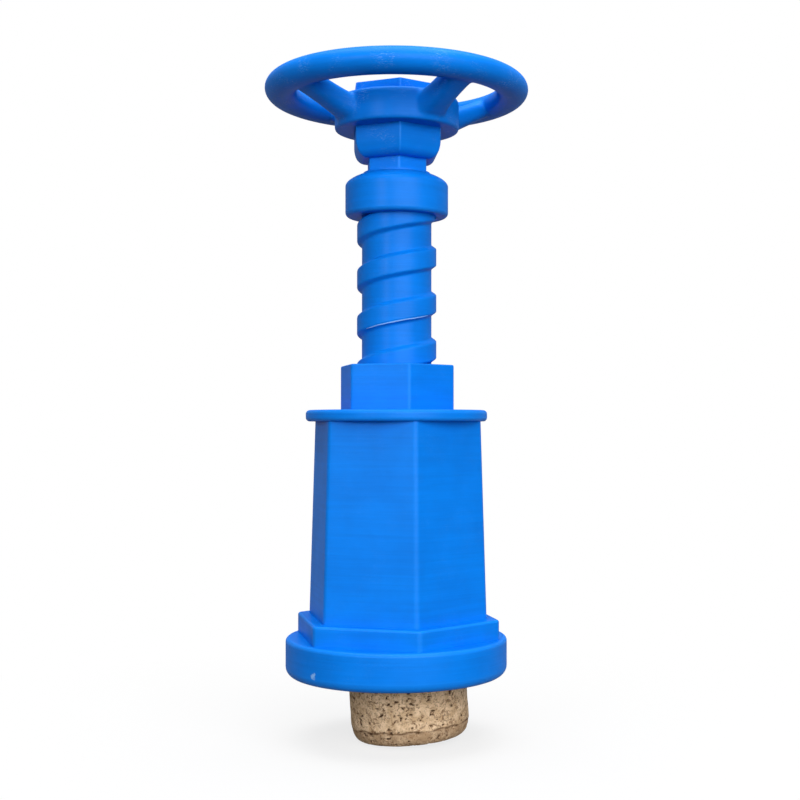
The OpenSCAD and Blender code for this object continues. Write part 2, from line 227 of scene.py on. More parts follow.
class FinishColours(bpy.types.PropertyGroup):
    """Colours of the finishes"""

    blue: tint("Blue", (0.001, 0.203, 0.800), "Printed plastic")
    blue_deep: tint("Deep blue", (0.001, 0.166, 0.675), "Printed plastic, darker streaks")
    # Colour of the painted highlight on rounded edges
    blue_highlight: tint("Light blue", (0.020, 0.280, 0.920), "Printed plastic along worn edges")
    blue_scuffed: tint("Scuffed blue", (0.270, 0.500, 0.860), "Whitened scuffs on the plastic")
    cork_pale: tint("Pale cork", (0.800, 0.590, 0.385), "Lightest grain of the cork")
    cork_tan: tint("Cork", (0.570, 0.390, 0.228), "Usual tone of the cork")
    cork_brown: tint("Brown cork", (0.230, 0.130, 0.065), "Brown flecks and rubbed ends of the cork")
    cork_dark: tint("Dark cork", (0.050, 0.022, 0.010), "Pits and streaks of the cork")
    steel: tint("Steel", (0.560, 0.570, 0.580), "Worm, pin and ring")
    paper: tint("Floor", (0.720, 0.720, 0.720), "Pale studio floor")


class ValveCorkscrew(bpy.types.PropertyGroup):
    """All sizes and colours of the corkscrew"""

    wheel: PointerProperty(name="Wheel", description="Sizes of the wheel and its nuts", type=WheelSizes)
    spindle: PointerProperty(name="Spindle", description="Sizes of the spindle and worm", type=SpindleSizes)
    housing: PointerProperty(name="Housing", description="Sizes of the housing and base", type=HousingSizes)
    cork: PointerProperty(name="Cork", description="Sizes of the cork", type=CorkSizes)
    colours: PointerProperty(name="Colours", description="Colours of the finishes", type=FinishColours)


# Modelling helpers


def lathe(bm, outline, steps=LATHE_STEPS):
    """Spin a closed outline of (radius, height) points round the axis."""
    points = [bm.verts.new((radius, 0, height)) for radius, height in outline]
    edges = [bm.edges.new(pair) for pair in zip(points, points[1:] + points[:1])]
    bmesh.ops.spin(
        bm, geom=points + edges, cent=CENTRE, axis=AXIS, angle=FULL_TURN, steps=steps, use_merge=True
    )
    tidy(bm)


def tidy(bm):
    """Merge doubled points, drop edges without faces and face everything outwards."""
    bmesh.ops.remove_doubles(bm, verts=bm.verts, dist=NEAR)
    loose = [edge for edge in bm.edges if not edge.link_faces]
    bmesh.ops.delete(bm, geom=loose, context="EDGES")
    bmesh.ops.recalc_face_normals(bm, faces=bm.faces)


def radius_of(vert):
    """Distance of a point from the axis."""
    return math.hypot(vert.co.x, vert.co.y)


def lowest_radius(edge):
    """Distance of an edge's nearer end from the axis."""
    return min(radius_of(vert) for vert in edge.verts)


def lowest(edge):
    """Height of an edge's lower end."""
    return min(vert.co.z for vert in edge.verts)


def is_upright(edge):
    """True for an edge that runs mostly along the axis."""
    run = edge.verts[1].co - edge.verts[0].co
    return abs(run.z) > 0.7 * run.length


def edges_of(verts):
    """Edges at some points, each of them once."""
    return list(dict.fromkeys(edge for vert in verts for edge in vert.link_edges))


def ring_edges(bm, radius, height):
    """Edges of the circle at a radius and a height."""
    return [
        edge
        for edge in bm.edges
        if all(abs(radius_of(vert) - radius) < NEAR and abs(vert.co.z - height) < NEAR for vert in edge.verts)
    ]


def sharp_edges(bm, chosen=None):
    """Edges between faces that meet at a clear angle."""
    return [
        edge
        for edge in bm.edges
        if edge.is_manifold and edge.calc_face_angle(0) > SHARP and (chosen is None or chosen(edge))
    ]


def round_over(bm, edges, width, segments=4, painted_highlight=0.5):
    """Round edges and mark how much painted highlight the new faces get."""
    highlit = bm.faces.layers.float.get("highlit") or bm.faces.layers.float.new("highlit")
    rounded = bmesh.ops.bevel(
        bm, geom=edges, offset=width, offset_type="OFFSET", segments=segments, profile=0.5,
        affect="EDGES", clamp_overlap=True, material=-1,
    )
    for face in rounded["faces"]:
        face[highlit] = painted_highlight
    tidy(bm)


def draw_to_hexagon(bm, chosen):
    """Move turned points out onto the flats of a hexagon with a corner on the right-hand side."""
    for vert in bm.verts:
        if chosen(vert):
            within = math.atan2(vert.co.y, vert.co.x) % SIXTH
            stretch = 1 / math.cos(within - SIXTH / 2)
            vert.co.x *= stretch
            vert.co.y *= stretch


def spin_by(bm, angle):
    """Turn everything round the axis."""
    bmesh.ops.rotate(bm, cent=CENTRE, matrix=Matrix.Rotation(angle, 3, "Z"), verts=bm.verts)


def to_mesh(bm, name):
    """Move a bmesh into a mesh of its own."""
    mesh = bpy.data.meshes.new(name)
    bm.to_mesh(mesh)
    bm.free()
    return mesh


def finished_by(data, *modifiers):
    """Give a mesh or curve some modifiers and return the mesh that they make."""
    holder = bpy.data.objects.new(data.name, data)
    bpy.context.scene.collection.objects.link(holder)
    for kind, settings in modifiers:
        modifier = holder.modifiers.new(kind, kind)
        for key, value in settings.items():
            setattr(modifier, key, value)
    bpy.context.view_layer.update()
    made = bpy.data.meshes.new_from_object(holder.evaluated_get(bpy.context.evaluated_depsgraph_get()))
    bpy.data.objects.remove(holder)
    return made


def combined(first, second, operation):
    """Unite two closed meshes, or cut the second out of the first."""
    tool = bpy.data.objects.new("tool", second)
    bpy.context.scene.collection.objects.link(tool)
    made = finished_by(first, ("BOOLEAN", {"operation": operation, "object": tool, "solver": "EXACT"}))
    bpy.data.objects.remove(tool)
    return made


def place(context, made, name, body, slot, *nodes):
    """Put a bmesh or mesh in the frame, in metres, as a finished piece that stands for its nodes."""
    mesh = to_mesh(made, name) if isinstance(made, bmesh.types.BMesh) else made
    mesh.name = name
    mesh.transform(Matrix.Scale(1 / MM, 4))
    mesh.materials.clear()
    mesh.materials.append(finish(context, FINISHES[slot]))
    mesh.shade_smooth()
    mesh.set_sharp_from_angle(angle=CRISP)
    piece = bpy.data.objects.new(name, mesh)
    bpy.context.scene.collection.objects.link(piece)
    even = piece.modifiers.new("Even shading", "WEIGHTED_NORMAL")
    even.keep_sharp = True
    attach(piece, body)
    if nodes:
        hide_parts(*nodes)


# Shader helpers


def add(tree, kind, inputs=None, **settings):
    """Add a shader node, set its options, and set or link its inputs."""
    made = tree.nodes.new(kind)
    for key, value in settings.items():
        setattr(made, key, value)
    for key, value in (inputs or {}).items():
        socket = made.inputs[key]
        if isinstance(value, bpy.types.NodeSocket):
            tree.links.new(value, socket)
        else:
            socket.default_value = value
    return made


def calc(tree, operation, *values):
    """Result of a Math node."""
    made = add(tree, "ShaderNodeMath", dict(enumerate(values)), operation=operation)
    return made.outputs[0]


def remap(tree, value, low_in, high_in, low_out, high_out):
    """Result of a clamped Map Range node."""
    made = add(
        tree, "ShaderNodeMapRange", {0: value, 1: low_in, 2: high_in, 3: low_out, 4: high_out}, clamp=True
    )
    return made.outputs[0]


def mixed(tree, factor, first, second):
    """Colour between two colours."""
    made = add(tree, "ShaderNodeMix", {0: factor, 6: first, 7: second}, data_type="RGBA")
    return made.outputs[2]


def grain(tree, where, scale, detail=2.0, roughness=0.5, distortion=0.0):
    """Value of a Noise Texture."""
    made = add(
        tree,
        "ShaderNodeTexNoise",
        {"Vector": where, "Scale": scale, "Detail": detail, "Roughness": roughness, "Distortion": distortion},
    )
    return made.outputs[0]


def stretched(tree, where, scale):
    """Coordinates scaled along each axis."""
    made = add(tree, "ShaderNodeMapping", {"Vector": where, "Scale": scale}, vector_type="POINT")
    return made.outputs[0]


def rgba(colour):
    """A colour with full alpha."""
    return (*colour, 1.0)


def new_group(name, inputs, outputs):
    """An empty node group with its sockets."""
    group = bpy.data.node_groups.new(name, "ShaderNodeTree")
    for label, kind, default in inputs:
        socket = group.interface.new_socket(label, in_out="INPUT", socket_type=kind)
        if default is not None:
            socket.default_value = default
    for label, kind in outputs:
        group.interface.new_socket(label, in_out="OUTPUT", socket_type=kind)
    return group, group.nodes.new("NodeGroupInput").outputs, group.nodes.new("NodeGroupOutput").inputs


def print_layers_group():
    """Fine lines of printed layers, and broader bands where layers lie unevenly."""
    group, given, result = new_group(
        "Printed layers",
        [("Vector", "NodeSocketVector", None), ("Layers per metre", "NodeSocketFloat", 5000.0)],
        [("Line", "NodeSocketFloat"), ("Band", "NodeSocketFloat")],
    )
    along = add(group, "ShaderNodeSeparateXYZ", {0: given["Vector"]}).outputs["Z"]
    phase = calc(group, "MULTIPLY", calc(group, "MULTIPLY", along, given["Layers per metre"]), FULL_TURN)
    wave = calc(group, "MULTIPLY_ADD", calc(group, "SINE", phase), 0.5, 0.5)
    band = grain(group, stretched(group, given["Vector"], (45, 45, 1300)), 1.0, 3.0, 0.6)
    line = calc(group, "MULTIPLY", wave, remap(group, band, 0.3, 0.7, 0.45, 1.0))
    group.links.new(line, result["Line"])
    group.links.new(band, result["Band"])
    return group


def scuffs_group():
    """Small rubbed specks that gather in patches."""
    group, given, result = new_group(
        "Scuffs",
        [("Vector", "NodeSocketVector", None), ("Scale", "NodeSocketFloat", 1500.0)],
        [("Mask", "NodeSocketFloat")],
    )
    drawn_out = stretched(group, given["Vector"], (1, 1, 4))
    specks = remap(group, grain(group, drawn_out, given["Scale"], 4.0, 0.7), 0.52, 0.72, 0.0, 0.9)
    broad = calc(group, "DIVIDE", given["Scale"], 9.0)
    patches = remap(group, grain(group, given["Vector"], broad, 2.0, 0.6), 0.50, 0.66, 0.0, 1.0)
    group.links.new(calc(group, "MULTIPLY", specks, patches), result["Mask"])
    return group


def use(tree, group, inputs):
    """Outputs of a node group placed in a material."""
    return add(tree, "ShaderNodeGroup", inputs, node_tree=group).outputs


def new_material(name):
    """A new material with its tree, its Principled shader and its coordinates."""
    material = bpy.data.materials.new(name)
    material.use_nodes = True
    tree = material.node_tree
    shader = tree.nodes["Principled BSDF"]
    where = tree.nodes.new("ShaderNodeTexCoord").outputs["Object"]
    return material, tree, shader, where


def printed_blue(colours, layers, scuffs):
    """Satin blue printed plastic: layer lines, uneven bands, a painted highlight on rounded edges and pale
    scuffs.
    """
    material, tree, shader, where = new_material("Printed blue plastic")
    layer = use(tree, layers, {"Vector": where, "Layers per metre": 5000.0})
    height = add(tree, "ShaderNodeSeparateXYZ", {0: where}).outputs["Z"]
    handled = remap(tree, height, 0.112, 0.122, 0.12, 1.0)
    rubbed = calc(tree, "MULTIPLY", use(tree, scuffs, {"Vector": where, "Scale": 1700.0})["Mask"], handled)
    nick = add(tree, "ShaderNodeVectorMath", {0: where, 1: NICK}, operation="DISTANCE").outputs["Value"]
    broken = calc(tree, "MULTIPLY_ADD", grain(tree, where, 1500.0, 3.0), 0.0018, -0.0009)
    nicked = remap(tree, calc(tree, "ADD", nick, broken), 0.0004, 0.0008, 0.8, 0.0)
    cloud = remap(tree, grain(tree, where, 130.0, 3.0), 0.35, 0.65, 0.0, 1.0)
    highlit = add(tree, "ShaderNodeAttribute", attribute_name="highlit").outputs["Fac"]
    streak = remap(tree, layer["Band"], 0.35, 0.68, 0.0, 1.0)
    lighter = calc(tree, "MULTIPLY_ADD", streak, 0.5, calc(tree, "MULTIPLY", cloud, 0.5))
    tone = mixed(tree, lighter, rgba(colours.blue_deep), rgba(colours.blue))
    loose = add(tree, "ShaderNodeAttribute", attribute_name="pale").outputs["Fac"]
    marked = calc(tree, "MAXIMUM", nicked, calc(tree, "MULTIPLY", loose, 0.7))
    pale = calc(tree, "MAXIMUM", calc(tree, "MULTIPLY", rubbed, 0.45), marked)
    # Rounded edges are mixed towards a lighter blue as a painted highlight
    tone = mixed(tree, calc(tree, "MULTIPLY", highlit, 0.3), tone, rgba(colours.blue_highlight))
    tone = mixed(tree, pale, tone, rgba(colours.blue_scuffed))
    tree.links.new(tone, shader.inputs["Base Color"])
    rough = calc(tree, "MULTIPLY_ADD", layer["Band"], 0.16, 0.34)
    tree.links.new(calc(tree, "MULTIPLY_ADD", rubbed, 0.18, rough), shader.inputs["Roughness"])
    fine = calc(tree, "MULTIPLY_ADD", grain(tree, where, 5200.0, 2.0), 0.5, layer["Line"])
    relief = calc(tree, "MULTIPLY_ADD", layer["Band"], 2.6, fine)
    bump = add(tree, "ShaderNodeBump", {"Strength": 0.42, "Distance": 0.00003, "Height": relief})
    tree.links.new(bump.outputs[0], shader.inputs["Normal"])
    shader.inputs["Specular IOR Level"].default_value = 0.0
    shader.inputs["Coat Weight"].default_value = 0.18
    shader.inputs["Coat Roughness"].default_value = 0.36
    return material


def natural_cork(colours):
    """Cork bark: pale and tan grain, dark pits where the mesh is pitted, streaks and a dark end bevel."""
    material, tree, shader, where = new_material("Natural cork")
    pit = add(tree, "ShaderNodeAttribute", attribute_name="pit").outputs["Fac"]
    edge = add(tree, "ShaderNodeAttribute", attribute_name="end_bevel").outputs["Fac"]
    cells = add(
        tree, "ShaderNodeTexVoronoi", {"Vector": where, "Scale": 900.0, "Randomness": 1.0}, feature="F1"
    ).outputs["Color"]
    cell = add(tree, "ShaderNodeSeparateColor", {0: cells}).outputs[0]
    mottle = grain(tree, where, 420.0, 4.0, 0.7, 0.6)
    paler = remap(tree, mottle, 0.40, 0.60, 0.0, 1.0)
    tone = mixed(tree, paler, rgba(colours.cork_tan), rgba(colours.cork_pale))
    tone = mixed(tree, remap(tree, cell, 0.55, 1.0, 0.0, 0.45), tone, rgba(colours.cork_tan))
    flecks = grain(tree, where, 900.0, 4.0, 0.65, 1.5)
    tone = mixed(tree, remap(tree, flecks, 0.53, 0.62, 0.0, 0.8), tone, rgba(colours.cork_brown))
    streaks = grain(tree, stretched(tree, where, (500, 500, 1500)), 1.0, 4.0, 0.7, 1.2)
    tone = mixed(tree, remap(tree, streaks, 0.58, 0.68, 0.0, 0.8), tone, rgba(colours.cork_dark))
    specks = grain(tree, where, 1900.0, 3.0, 0.7, 0.5)
    tone = mixed(tree, remap(tree, specks, 0.57, 0.70, 0.0, 0.75), tone, rgba(colours.cork_dark))
    patch = remap(tree, grain(tree, where, 650.0, 3.0, 0.6), 0.34, 0.54, 0.45, 1.0)
    tone = mixed(tree, calc(tree, "MULTIPLY", edge, patch), tone, rgba(colours.cork_brown))
    line = remap(tree, edge, 0.55, 0.9, 0.0, 0.9)
    tone = mixed(tree, calc(tree, "MULTIPLY", line, patch), tone, rgba(colours.cork_dark))
    tone = mixed(tree, remap(tree, pit, 0.16, 0.55, 0.0, 0.97), tone, rgba(colours.cork_dark))
    tree.links.new(tone, shader.inputs["Base Color"])
    tree.links.new(remap(tree, mottle, 0.3, 0.7, 0.95, 0.75), shader.inputs["Roughness"])
    relief = calc(tree, "MULTIPLY_ADD", cell, 0.4, grain(tree, where, 2600.0, 4.0, 0.7))
    bump = add(tree, "ShaderNodeBump", {"Strength": 0.5, "Distance": 0.00012, "Height": relief})
    tree.links.new(bump.outputs[0], shader.inputs["Normal"])
    shader.inputs["Specular IOR Level"].default_value = 0.2
    return material


def bright_steel(colours, scuffs):
    """Drawn bright steel: fine drawing lines and dulled specks."""
    material, tree, shader, where = new_material("Bright steel")
    rubbed = use(tree, scuffs, {"Vector": where, "Scale": 1100.0})["Mask"]
    drawn = grain(tree, stretched(tree, where, (2600, 2600, 260)), 1.0, 4.0, 0.65)
    dark = tuple(0.72 * part for part in colours.steel)
    tone = mixed(tree, remap(tree, drawn, 0.35, 0.65, 0.0, 1.0), rgba(dark), rgba(colours.steel))
    tree.links.new(tone, shader.inputs["Base Color"])
    rough = remap(tree, drawn, 0.3, 0.7, 0.20, 0.34)
    tree.links.new(calc(tree, "MULTIPLY_ADD", rubbed, 0.25, rough), shader.inputs["Roughness"])
    bump = add(tree, "ShaderNodeBump", {"Strength": 0.25, "Distance": 0.00001, "Height": drawn})
    tree.links.new(bump.outputs[0], shader.inputs["Normal"])
    shader.inputs["Metallic"].default_value = 1.0
    return material


def finish(context, name):
    """The named finish, made on its first use together with the groups it shares."""
    if name not in bpy.data.materials:
        colours = context.scene.valve_corkscrew.colours
        scuffs = scuffs_group()
        printed_blue(colours, print_layers_group(), scuffs)
        natural_cork(colours)
        bright_steel(colours, scuffs)
    return bpy.data.materials[name]


# Pieces


def spoke(bm, sizes, hub_z, rim_z, rim_radius, angle):
    """One flared spoke from the hub to the rim, as bridged sections of a squarish oval."""
    sections = 11
    sides = 40
    root_depth = 2.2
    flare_power = 2.2
    squareness = 0.7
    inner = sizes.hub_radius - root_depth
    loops = []
    for index in range(sections):
        share = index / (sections - 1)
        flare = sizes.spoke_hub_flare if share < 0.5 else sizes.spoke_rim_flare
        width = sizes.spoke_waist + (flare - sizes.spoke_waist) * abs(2 * share - 1) ** flare_power
        depth = (1 - share) * sizes.spoke_hub_depth + share * sizes.spoke_rim_depth
        capped = index in (0, sections - 1)
        ring = bmesh.ops.create_circle(bm, cap_ends=capped, segments=sides, radius=1)["verts"]
        for vert in ring:
            vert.co.x = math.copysign(abs(vert.co.x) ** squareness, vert.co.x) * depth / 2
            vert.co.y = math.copysign(abs(vert.co.y) ** squareness, vert.co.y) * width / 2
        centre = Vector((inner + share * (rim_radius - inner), 0, hub_z + share * (rim_z - hub_z)))
        stood = Matrix.Translation(centre) @ Matrix.Rotation(math.pi / 2, 4, "Y")
        bmesh.ops.transform(bm, matrix=Matrix.Rotation(angle, 4, "Z") @ stood, verts=ring)
        loops.append(edges_of(ring))
    for first, second in zip(loops, loops[1:]):
        bmesh.ops.bridge_loops(bm, edges=first + second)


class VALVE_OT_handwheel(bpy.types.Operator):
    """Build the handwheel: rim, flared spokes and hub in one blended piece"""

    bl_idname = "valve_corkscrew.handwheel"
    bl_label = "Handwheel"

    def execute(self, context):
        sizes = sizes_of(context, "wheel")
        section_sides = 40
        rim_steps = 160
        voxel = 0.26
        smoothing = 14
        rim_radius = reach("handwheel") - sizes.rim_half_width
        rim_z = high("handwheel") - sizes.rim_half_height
        hub = sizes.hub_radius
        bore = sizes.hub_bore
        hub_low = low("handwheel") + sizes.hub_lift
        hub_top = hub_low + sizes.hub_height

        bm = bmesh.new()
        stood = Matrix.Rotation(math.pi / 2, 4, "X")
        oval = Matrix.Diagonal((sizes.rim_half_width, 1, sizes.rim_half_height, 1))
        moved = Matrix.Translation((rim_radius, 0, rim_z)) @ oval @ stood
        section = bmesh.ops.create_circle(bm, segments=section_sides, radius=1, matrix=moved)["verts"]
        bmesh.ops.spin(
            bm, geom=section + edges_of(section), cent=CENTRE, axis=AXIS, angle=FULL_TURN, steps=rim_steps,
            use_merge=True,
        )
        lathe(bm, [(bore, hub_low), (hub, hub_low), (hub, hub_top), (bore, hub_top)])
        round_over(bm, ring_edges(bm, hub, hub_low), sizes.hub_low_round)
        round_over(bm, ring_edges(bm, hub, hub_top), sizes.hub_top_round)
        spoke_z = hub_low + sizes.spoke_level
        for index in range(sizes.spoke_count):
            angle = sizes.spoke_turn + index * FULL_TURN / sizes.spoke_count
            spoke(bm, sizes, spoke_z, rim_z + sizes.spoke_rim_rise, rim_radius, angle)
        tidy(bm)
        mesh = finished_by(
            to_mesh(bm, "handwheel_body"),
            ("REMESH", {"mode": "VOXEL", "voxel_size": voxel, "adaptivity": 0.0}),
            ("SMOOTH", {"factor": 0.5, "iterations": smoothing}),
        )
        place(context, mesh, "wheel_rim_spokes_hub", "spindle", "blue_plastic", "handwheel")
        return {"FINISHED"}


def hexagon_nut(side, bore, sizes, ceiling=None):
    """A hexagonal nut, from its side's points of half width across the flats and height.

    Its round hole goes right through, or ends at the ceiling's height.
    """
    top = side[-1][1]
    inside = [(bore, top)] if ceiling is None else [(0, top), (0, ceiling), (bore, ceiling)]
    bm = bmesh.new()
    lathe(bm, [(bore, side[0][1]), *side, *inside], FINE_STEPS)
    between = (bore + min(half for half, height in side)) / 2
    draw_to_hexagon(bm, lambda vert: radius_of(vert) > between)
    spin_by(bm, sizes.nut_corner)
    round_over(bm, sharp_edges(bm, is_upright), sizes.nut_round, painted_highlight=1.0)
    return bm


class VALVE_OT_wheel_nuts(bpy.types.Operator):
    """Build the low nut on top of the hub and the lock nut under it"""

    bl_idname = "valve_corkscrew.wheel_nuts"
    bl_label = "Wheel nuts"

    def execute(self, context):
        sizes = sizes_of(context, "wheel")
        spindle = sizes_of(context, "spindle")
        half = sizes.nut_flats / 2

        bottom = low("handwheel") + sizes.hub_lift + sizes.hub_height
        top = high("wheel_nut") + sizes.nut_rise
        ceiling = high("spindle") + spindle.slip
        bm = hexagon_nut([(half, bottom), (half, top)], spindle.stud + spindle.slip, sizes, ceiling)
        round_over(bm, sharp_edges(bm, lambda edge: lowest(edge) > top - NEAR), sizes.nut_top_round, 2)
        place(context, bm, "low_wheel_nut", "spindle", "blue_plastic", "wheel_nut")

        bottom = low("lock_nut")
        top = high("lock_nut") + sizes.hub_lift
        levels = 16
        side = []
        for level in range(levels + 1):
            share = level / levels
            inset = sizes.nut_bevel_depth * (1 - share) ** 2 + sizes.nut_low_round * (1 - share) ** 7
            side.append((half - inset, bottom + sizes.nut_bevel_height * share))
        bm = hexagon_nut([*side, (half, top)], sizes.hub_bore, sizes)
        place(context, bm, "tall_lock_nut", "spindle", "blue_plastic", "lock_nut")
        return {"FINISHED"}


class VALVE_OT_stop_collar(bpy.types.Operator):
    """Build the round collar under the lock nut"""

    bl_idname = "valve_corkscrew.stop_collar"
    bl_label = "Stop collar"

    def execute(self, context):
        sizes = sizes_of(context, "wheel")
        bottom = low("stop_collar")
        top = high("stop_collar") - sizes.collar_set_down
        outer = reach("stop_collar")
        bore = sizes.collar_bore
        steps = 14
        shoulder = []
        for step in range(steps + 1):
            share = step / steps
            inset = sizes.collar_top_width * share ** 2
            shoulder.append((outer - inset, top - sizes.collar_top_height * (1 - share)))
        bm = bmesh.new()
        lathe(bm, [(bore, bottom), (outer, bottom), *shoulder, (bore, top)])
        round_over(bm, ring_edges(bm, outer, bottom), sizes.collar_low_round, 6)
        place(context, bm, "round_stop_collar", "collar", "blue_plastic", "stop_collar")
        return {"FINISHED"}


def threaded_rod(sizes, bottom, top, gap):
    """A closed threaded rod: one pitch of the outline, spun upwards as a screw and cut off flat."""
    steps = 72
    points = 54
    half_crest = sizes.crest / 2 + gap
    turns = math.ceil((top - bottom) / sizes.pitch) + 2
    middle = sizes.phase
    while middle > bottom - sizes.pitch / 2:
        middle -= sizes.pitch
    bm = bmesh.new()
    outline = []
    for index in range(points + 1):
        along = (index / points - 0.5) * sizes.pitch
        down = min(1.0, max(0.0, (abs(along) - half_crest) / sizes.flank))
        radius = sizes.core + gap + sizes.ridge * (1 + math.cos(math.pi * down)) / 2
        outline.append(bm.verts.new((radius, 0, middle + along)))
    edges = [bm.edges.new(pair) for pair in zip(outline, outline[1:])]
    bmesh.ops.spin(
        bm, geom=outline + edges, cent=CENTRE, axis=AXIS, dvec=(0, 0, sizes.pitch / steps),
        angle=turns * FULL_TURN, steps=turns * steps,
    )
    bmesh.ops.remove_doubles(bm, verts=bm.verts, dist=NEAR)
    for height, side in ((bottom, -1), (top, 1)):
        bmesh.ops.bisect_plane(
            bm, geom=bm.verts[:] + bm.edges[:] + bm.faces[:], dist=NEAR / 100, plane_co=(0, 0, height),
            plane_no=(0, 0, side), clear_outer=True,
        )
    bmesh.ops.edgeloop_fill(bm, edges=[edge for edge in bm.edges if edge.is_boundary])
    tidy(bm)
    return bm


def drawn_tube(name, path):
    """A closed round tube along a path of (point, radius) pairs."""
    curve = bpy.data.curves.new(name, "CURVE")
    curve.dimensions = "3D"
    curve.bevel_depth = 1.0
    curve.bevel_resolution = 6
    curve.use_fill_caps = True
    spline = curve.splines.new("POLY")
    spline.points.add(len(path) - 1)
    for spot, (where, thick) in zip(spline.points, path):
        spot.co = (*where, 1)
        spot.radius = thick
    bm = bmesh.new()
    bm.from_mesh(finished_by(curve))
    tidy(bm)
    return bm


def pin_rod(gap=0.0, span=None):
    """A rod along the worm pin, wider by a gap all round, and as long as the pin unless a span is given."""
    pin_low, pin_high = (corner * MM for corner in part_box("worm_pin"))
    radius = pin_high.x + gap
    middle = Matrix.Translation((0, 0, (pin_low.z + pin_high.z) / 2))
    bm = bmesh.new()
    bmesh.ops.create_cone(
        bm, cap_ends=True, segments=32, radius1=radius, radius2=radius, depth=span or pin_high.y - pin_low.y,
        matrix=middle @ Matrix.Rotation(math.pi / 2, 4, "X"),
    )
    return bm


def strand(sizes):
    """A pale strand of plastic that hangs along the lower edge of one turn of the thread."""
    steps = 40
    start = -140
    span = 102
    thin = 0.05
    swell = 0.10
    drift = 0.07
    under = sizes.crest / 2 + 0.3 * sizes.flank
    radius = sizes.core + 0.8 * sizes.ridge
    path = []
    for step in range(steps + 1):
        share = step / steps
        angle = math.radians(start + span * share)
        height = sizes.phase + sizes.pitch * (angle / FULL_TURN - 1) - under
        sway = drift * noise.noise(Vector((9 * share, 0.4, 0.7)))
        thick = thin + swell * math.sin(math.pi * share) ** 0.5
        path.append(((radius * math.cos(angle), radius * math.sin(angle), height + sway), thick))
    bm = drawn_tube("strand_path", path)
    pale = bm.faces.layers.float.new("pale")
    for face in bm.faces:
        face[pale] = 1.0
    return bm


class VALVE_OT_spindle(bpy.types.Operator):
    """Build the spindle: coarse thread, journal, hexagonal neck and tang, plain end, and a loose strand"""

    bl_idname = "valve_corkscrew.spindle"
    bl_label = "Spindle"

    def execute(self, context):
        sizes = sizes_of(context, "spindle")
        slip = sizes.slip
        end = low("spindle")
        stud_top = high("spindle")
        neck = high("stop_collar")
        lock = neck + sizes.neck_height
        hub_top = low("wheel_nut")
        land = sizes.land
        groove = land - sizes.groove
        ring_low = low("retaining_ring") - slip
        ring_top = high("retaining_ring") + slip
        shank = sizes.shank + slip
        shank_top = high("worm") + slip
        journal = sizes.journal
        stud = sizes.stud
        neck_flat = sizes.neck_flats / 2
        tang_flat = sizes.tang_flats / 2
        # The plain end widens to the journal inside the thread
        widening = sizes.thread_start + 1
        apart = 0.5

        bm = bmesh.new()
        lathe(bm, [
            (0, shank_top), (shank, shank_top), (shank, end), (land, end), (land, ring_low),
            (groove, ring_low), (groove, ring_top), (land, ring_top), (land, widening),
            (journal, widening + apart), (journal, neck), (neck_flat, neck), (neck_flat, lock),
            (tang_flat, lock), (tang_flat, hub_top), (stud, hub_top), (stud, stud_top), (0, stud_top),
        ])

        def on_hexagon(vert):
            within = stud + apart < radius_of(vert) < journal - apart
            return within and neck - NEAR < vert.co.z < hub_top + NEAR

        draw_to_hexagon(bm, on_hexagon)
        spin_by(bm, sizes_of(context, "wheel").nut_corner)

        def over_neck(edge):
            return is_upright(edge) and edge.verts[0].co.z + edge.verts[1].co.z > 2 * neck

        round_over(bm, sharp_edges(bm, over_neck), sizes.neck_round, painted_highlight=1.0)
        thread = threaded_rod(sizes, sizes.thread_start, low("stop_collar"), 0)
        mesh = combined(to_mesh(bm, "shaft"), to_mesh(thread, "thread"), "UNION")
        mesh = combined(mesh, to_mesh(pin_rod(slip, 4 * land), "pin_hole"), "DIFFERENCE")
        place(context, mesh, "threaded_spindle", "spindle", "blue_plastic", "spindle")
        place(context, strand(sizes), "loose_strand", "spindle", "blue_plastic")
        return {"FINISHED"}


class VALVE_OT_bonnet_nut(bpy.types.Operator):
    """Build the bonnet nut with its inner thread and spigot"""

    bl_idname = "valve_corkscrew.bonnet_nut"
    bl_label = "Bonnet nut"

    def execute(self, context):
        sizes = sizes_of(context, "housing")
        thread = sizes_of(context, "spindle")
        past = 1
        bottom = low("bonnet_nut")
        top = high("bonnet_nut")
        seat = high("top_flange")
        spigot = sizes.spigot
        flat = sizes.bonnet_flats / 2
        bm = bmesh.new()
        lathe(bm, [(0, bottom), (spigot, bottom), (spigot, seat), (flat, seat), (flat, top), (0, top)])
        draw_to_hexagon(bm, lambda vert: vert.co.z > seat - NEAR and radius_of(vert) > flat - NEAR)
        spin_by(bm, sizes.corner)
        round_over(bm, sharp_edges(bm, is_upright), sizes.bonnet_round)
        top_edges = sharp_edges(bm, lambda edge: edge.verts[0].co.z > top - NEAR)
        round_over(bm, top_edges, sizes.bonnet_top_round, 3)
        cutter = threaded_rod(thread, bottom - past, top + past, thread.nut_gap)
        mesh = combined(to_mesh(bm, "nut_body"), to_mesh(cutter, "nut_thread"), "DIFFERENCE")
        place(context, mesh, "threaded_bonnet_nut", "housing", "blue_plastic", "bonnet_nut")
        return {"FINISHED"}


class VALVE_OT_round_plates(bpy.types.Operator):
    """Build the round flange on the housing and the round base under its foot"""

    bl_idname = "valve_corkscrew.round_plates"
    bl_label = "Flange and base"

    def execute(self, context):
        sizes = sizes_of(context, "housing")
        hole = sizes.spigot + sizes_of(context, "spindle").slip
        plates = (
            ("top_flange", "round_top_flange", hole, sizes.flange_round, sizes.flange_round),
            ("base_ring", "round_base", sizes.socket, sizes.base_low_round, sizes.base_top_round),
        )
        for node, name, bore, low_round, top_round in plates:
            bottom = low(node)
            top = high(node)
            outer = reach(node)
            bm = bmesh.new()
            lathe(bm, [(bore, bottom), (outer, bottom), (outer, top), (bore, top)], PLATE_STEPS)
            round_over(bm, ring_edges(bm, outer, bottom), low_round, 7)
            round_over(bm, ring_edges(bm, outer, top), top_round, 6)
            place(context, bm, name, "housing", "blue_plastic", node)
        return {"FINISHED"}


